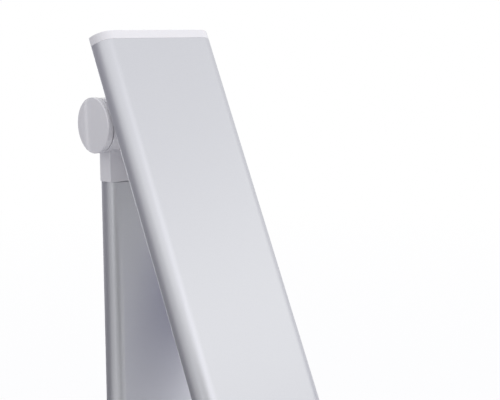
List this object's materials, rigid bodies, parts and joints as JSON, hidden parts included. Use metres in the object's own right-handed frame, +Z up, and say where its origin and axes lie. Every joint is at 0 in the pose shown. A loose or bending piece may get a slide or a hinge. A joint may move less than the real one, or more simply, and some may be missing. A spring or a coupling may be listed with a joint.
{
  "type": "desk lamp",
  "caption": "Flat-headed LED desk lamp: aluminium head and column joined by white friction hinges, on a weighted base with push buttons.",
  "frame": {"origin": "middle of the underside of the rubber pad that the lamp stands on", "axes": "+Z up along the upright column, -Y forward where the head reaches, X along the hinge axes"},
  "size_m": [0.19, 0.1837, 0.4362],
  "materials": {
    "satin_aluminium": "satin anodised",
    "white_plastic": "moulded, fine texture",
    "steel": "zinc plated",
    "rubber": "matt sheet rubber",
    "circuit_board": "solder mask",
    "black_plastic": "moulded",
    "lead_sheath": "soft sheath",
    "white_board": "white solder mask",
    "led": "phosphor",
    "opal_diffuser": "opal, frosted"
  },
  "bodies": {
    "base": {"base_housing": "white_plastic", "base_deck": "satin_aluminium", "base_plate": "steel", "anti_slip_pad": "rubber", "ballast": "steel", "housing_screws": "steel", "pedestal": "white_plastic", "pedestal_screws": "steel", "control_board": "circuit_board", "board_screws": "steel", "board_parts": "black_plastic", "tact_switches": "black_plastic", "dc_socket": "black_plastic", "dc_socket_pin": "steel", "socket_lead": "lead_sheath", "base_lead": "lead_sheath", "lower_cover_left": "white_plastic", "lower_cover_right": "white_plastic"},
    "power_key": {"power_button": "white_plastic", "power_plunger": "black_plastic"},
    "brightness_key": {"brightness_button": "white_plastic", "brightness_plunger": "black_plastic"},
    "colour_key": {"colour_button": "white_plastic", "colour_plunger": "black_plastic"},
    "column": {"column_tube": "satin_aluminium", "column_foot": "white_plastic", "foot_screws": "steel", "column_neck": "white_plastic", "neck_screws": "steel", "column_lead": "lead_sheath", "lower_axle": "steel", "lower_axle_nuts": "steel", "lower_wave_washers": "steel", "lower_friction_washers": "black_plastic", "upper_cover_left": "white_plastic", "upper_cover_right": "white_plastic"},
    "head": {"head_shell": "satin_aluminium", "head_cap_upper": "white_plastic", "head_cap_lower": "white_plastic", "hinge_bracket": "white_plastic", "bracket_screws": "steel", "upper_axle": "steel", "upper_axle_nuts": "steel", "upper_wave_washers": "steel", "upper_friction_washers": "black_plastic", "led_board": "white_board", "led_chips": "led", "led_connector": "white_board", "light_frame": "white_plastic", "diffuser": "opal_diffuser", "head_lead": "lead_sheath"}
  },
  "joints": [
    {"name": "column_tilt", "type": "hinge", "parent": "base", "child": "column", "pos_m": [0, 0.045, 0.04], "axis": [1, 0, 0], "range_deg": [-15, 30]},
    {"name": "head_tilt", "type": "hinge", "parent": "column", "child": "head", "pos_m": [0, 0.045, 0.3936], "axis": [-1, 0, 0], "range_deg": [-26, 124]},
    {"name": "power_press", "type": "slide", "parent": "base", "child": "power_key", "axis": [0, 0, -1], "range_m": [0, 0.0008], "stiffness_N_per_m": 2000},
    {"name": "brightness_press", "type": "slide", "parent": "base", "child": "brightness_key", "axis": [0, 0, -1], "range_m": [0, 0.0008], "stiffness_N_per_m": 2000},
    {"name": "colour_press", "type": "slide", "parent": "base", "child": "colour_key", "axis": [0, 0, -1], "range_m": [0, 0.0008], "stiffness_N_per_m": 2000}
  ]
}
